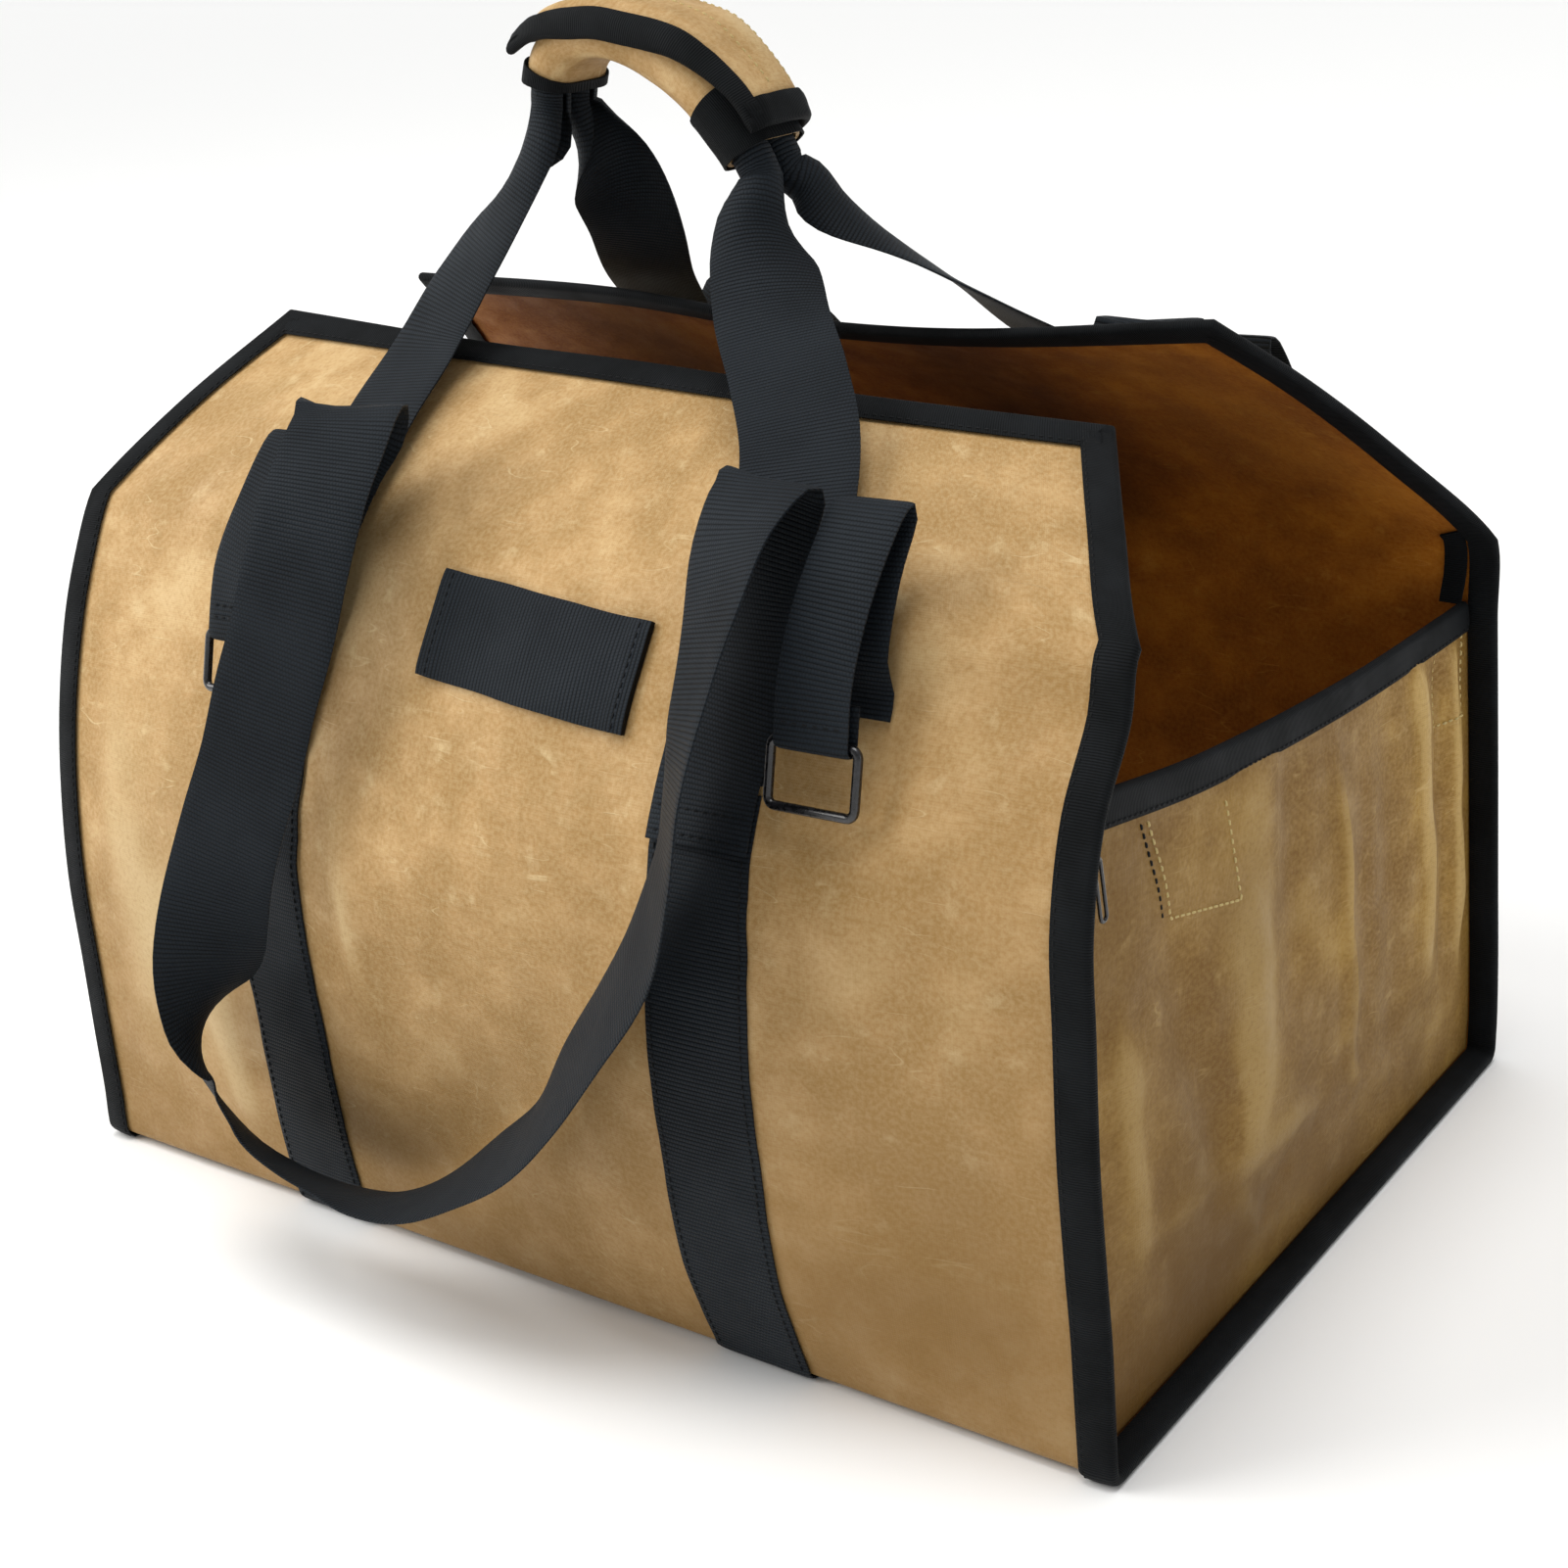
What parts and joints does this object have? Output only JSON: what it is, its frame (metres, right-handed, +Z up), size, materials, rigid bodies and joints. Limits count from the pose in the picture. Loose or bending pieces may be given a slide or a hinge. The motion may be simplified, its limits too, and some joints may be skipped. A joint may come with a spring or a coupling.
{
  "type": "canvas log carrier",
  "caption": "Waxed canvas log carrier with an open top, lower ends, taped edges, webbing handles that meet in a canvas grip, and folded webbing shoulder loops.",
  "frame": {"origin": "under the middle of the base, on the surface that it rests on", "axes": "+X runs to the right along the long side, -Y is the front with the webbing tab, +Z is up"},
  "size_m": [0.604, 0.54, 0.5538],
  "materials": {
    "back_handle": "ribbed black webbing",
    "body_canvas": "waxed cotton canvas, tan",
    "carry_webbing_left": "ribbed black webbing",
    "carry_webbing_right": "ribbed black webbing",
    "corner_tape": "black woven binding tape",
    "edge_binding": "black woven binding tape",
    "end_binding_left": "black woven binding tape",
    "end_binding_right": "black woven binding tape",
    "end_panel_left": "waxed cotton canvas, tan",
    "end_panel_right": "waxed cotton canvas, tan",
    "front_handle": "ribbed black webbing",
    "grip_band_left": "black woven binding tape",
    "grip_band_right": "black woven binding tape",
    "grip_binding": "black woven binding tape",
    "grip_flap": "waxed cotton canvas, tan",
    "grip_sleeve": "waxed cotton canvas, tan",
    "ring_strap_back_left": "ribbed black webbing",
    "ring_strap_back_right": "ribbed black webbing",
    "ring_strap_front_left": "ribbed black webbing",
    "ring_strap_front_right": "ribbed black webbing",
    "shoulder_handle_back": "ribbed black webbing",
    "shoulder_handle_front": "ribbed black webbing",
    "webbing_tab": "ribbed black webbing",
    "wire_ring_back_left": "black painted wire and die cast metal",
    "wire_ring_back_right": "black painted wire and die cast metal",
    "wire_ring_front_left": "black painted wire and die cast metal",
    "wire_ring_front_right": "black painted wire and die cast metal",
    "zip_pull_left": "black painted wire and die cast metal",
    "zip_pull_right": "black painted wire and die cast metal",
    "zip_slider_left": "black painted wire and die cast metal",
    "zip_slider_right": "black painted wire and die cast metal"
  },
  "bodies": {
    "root": {"back_handle": "back_handle", "body_canvas": "body_canvas", "carry_webbing_left": "carry_webbing_left", "carry_webbing_right": "carry_webbing_right", "corner_tape": "corner_tape", "edge_binding": "edge_binding", "end_binding_left": "end_binding_left", "end_binding_right": "end_binding_right", "end_panel_left": "end_panel_left", "end_panel_right": "end_panel_right", "front_handle": "front_handle", "grip_band_left": "grip_band_left", "grip_band_right": "grip_band_right", "grip_binding": "grip_binding", "grip_flap": "grip_flap", "grip_sleeve": "grip_sleeve", "ring_strap_back_left": "ring_strap_back_left", "ring_strap_back_right": "ring_strap_back_right", "ring_strap_front_left": "ring_strap_front_left", "ring_strap_front_right": "ring_strap_front_right", "shoulder_handle_back": "shoulder_handle_back", "shoulder_handle_front": "shoulder_handle_front", "webbing_tab": "webbing_tab", "wire_ring_back_left": "wire_ring_back_left", "wire_ring_back_right": "wire_ring_back_right", "wire_ring_front_left": "wire_ring_front_left", "wire_ring_front_right": "wire_ring_front_right", "zip_pull_left": "zip_pull_left", "zip_pull_right": "zip_pull_right", "zip_slider_left": "zip_slider_left", "zip_slider_right": "zip_slider_right"}
  },
  "joints": []
}
